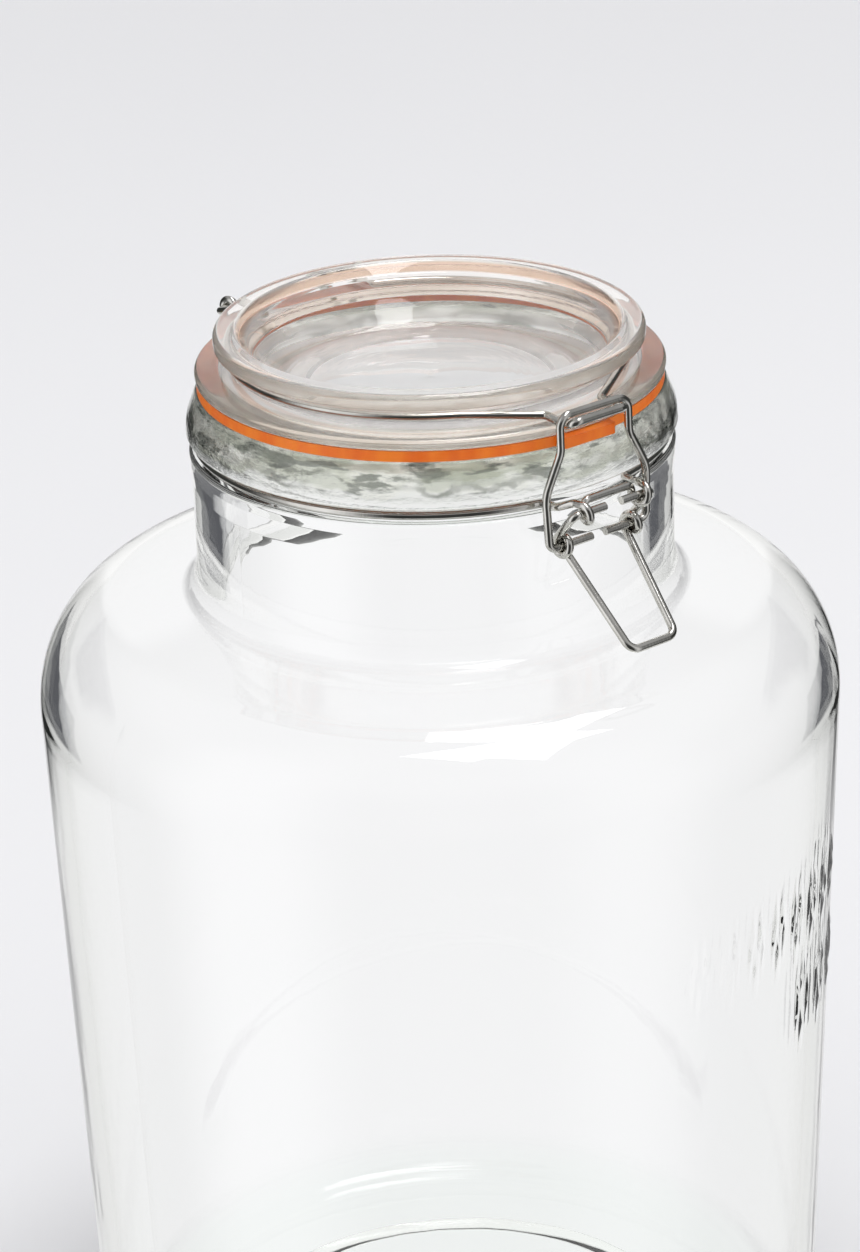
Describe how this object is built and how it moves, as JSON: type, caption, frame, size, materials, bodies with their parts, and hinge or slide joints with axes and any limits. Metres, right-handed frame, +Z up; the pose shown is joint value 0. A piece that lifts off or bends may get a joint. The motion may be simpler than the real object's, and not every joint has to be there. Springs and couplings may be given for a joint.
{
  "type": "clip-top glass canister",
  "caption": "Large round glass canister with a hinged glass lid, an orange rubber seal and a bent-wire swing latch.",
  "frame": {"origin": "centre of the base, on the plane the canister stands on", "axes": "+Z up along the jar's axis, -Y towards the latch, +X to the latch's right-hand side as one stands behind the jar looking at -Y"},
  "size_m": [0.22, 0.22, 0.33],
  "materials": {
    "jar_glass": "clear polished glass with a faint grey-green edge",
    "lid_glass": "clear pressed glass",
    "seal_rubber": "satin orange rubber",
    "wire_steel": "bright drawn spring wire"
  },
  "bodies": {
    "jar": {"glass_jar": "jar_glass", "neck_wire": "wire_steel"},
    "lid": {"glass_lid": "lid_glass", "lid_wire": "wire_steel", "rubber_seal": "seal_rubber"},
    "lever": {"lever": "wire_steel"},
    "bail": {"bail_link": "wire_steel"}
  },
  "joints": [
    {"name": "lid_hinge", "type": "hinge", "parent": "jar", "child": "lid", "pos_m": [0, 0.0685, 0.3204], "axis": [-1, 0, 0], "range_deg": [0, 110]},
    {"name": "lever_pivot", "type": "hinge", "parent": "jar", "child": "lever", "pos_m": [0, -0.0735, 0.2997], "axis": [-1, 0, 0], "range_deg": [0, 150]},
    {"name": "bail_pivot", "type": "hinge", "parent": "lever", "child": "bail", "pos_m": [0, -0.0676, 0.2896], "axis": [-1, 0, 0], "range_deg": [-210, 0]}
  ],
  "couplings": [
    {"joint": "bail_pivot", "follows": "lever_pivot", "ratio": -1.4}
  ]
}
